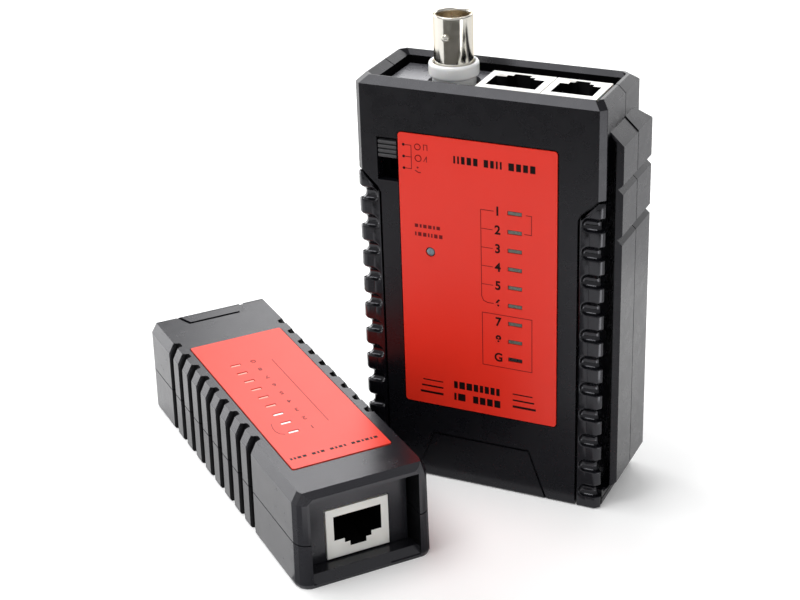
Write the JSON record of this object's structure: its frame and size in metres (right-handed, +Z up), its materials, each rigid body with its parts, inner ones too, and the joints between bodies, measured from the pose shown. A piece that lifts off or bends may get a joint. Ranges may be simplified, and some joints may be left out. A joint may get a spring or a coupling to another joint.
{
  "type": "network cable tester",
  "caption": "Two-piece network cable tester: an upright main unit with coaxial and modular sockets on top, and a loose remote unit lying beside it.",
  "frame": {"origin": "centre of the main unit's base, on the table", "axes": "+Z up along the main unit, -Y out of its faceplate, +X to its right seen from the front"},
  "size_m": [0.1366, 0.0922, 0.121],
  "materials": {
    "black_plastic": "fine moulded texture, satin",
    "soft_black": "soft-touch, matt",
    "red_label": "printed polycarbonate overlay, satin",
    "light_lens": "milky, clear gloss",
    "ivory_plastic": "smooth moulded, slight gloss",
    "white_nylon": "smooth moulded",
    "nickel_plate": "bright nickel plate over brass",
    "gold_plate": "bright gold plate",
    "zinc_steel": "zinc plated",
    "circuit_board": "green solder mask",
    "black_moulding": "moulded, matt",
    "battery_can": "plain wrapped can"
  },
  "bodies": {
    "main_unit": {"front_shell": "black_plastic", "rear_shell": "black_plastic", "grip_left": "soft_black", "grip_right": "soft_black", "faceplate_label": "red_label", "row_light_1": "light_lens", "row_light_2": "light_lens", "row_light_3": "light_lens", "row_light_4": "light_lens", "row_light_5": "light_lens", "row_light_6": "light_lens", "row_light_7": "light_lens", "row_light_8": "light_lens", "row_light_9": "light_lens", "power_light": "light_lens", "switch_body": "zinc_steel", "socket_8_way": "ivory_plastic", "socket_6_way": "ivory_plastic", "contacts_8_way": "gold_plate", "contacts_6_way": "gold_plate", "bnc_base": "white_nylon", "bnc_barrel": "nickel_plate", "bnc_dielectric": "white_nylon", "bnc_contact": "gold_plate", "connector_plate": "black_plastic", "connector_board": "circuit_board", "display_board": "circuit_board", "board_header": "black_moulding", "controller_chip": "black_moulding", "battery": "battery_can", "battery_snap": "black_moulding", "case_screw_1": "zinc_steel", "case_screw_2": "zinc_steel", "case_screw_3": "zinc_steel", "case_screw_4": "zinc_steel"},
    "knob": {"switch_knob": "soft_black"},
    "door": {"battery_door": "black_plastic"},
    "remote_unit": {"remote_upper_shell": "black_plastic", "remote_lower_shell": "black_plastic", "remote_label": "red_label", "remote_light_1": "light_lens", "remote_light_2": "light_lens", "remote_light_3": "light_lens", "remote_light_4": "light_lens", "remote_light_5": "light_lens", "remote_light_6": "light_lens", "remote_light_7": "light_lens", "remote_light_8": "light_lens", "remote_light_9": "light_lens", "remote_socket": "ivory_plastic", "remote_contacts": "gold_plate", "remote_end_panel": "black_plastic", "remote_board": "circuit_board", "remote_screw_1": "zinc_steel", "remote_screw_2": "zinc_steel"}
  },
  "joints": [
    {"name": "switch_slide", "type": "slide", "parent": "main_unit", "child": "knob", "axis": [0, 0, -1], "range_m": [0, 0.0052]},
    {"name": "door_hinge", "type": "hinge", "parent": "main_unit", "child": "door", "pos_m": [0, 0.0122, 0.0053], "axis": [1, 0, 0], "range_deg": [-90, 0]},
    {"name": "remote_lift", "type": "slide", "parent": "main_unit", "child": "remote_unit", "axis": [0, 0, 1], "range_m": [0, 0.08]}
  ]
}
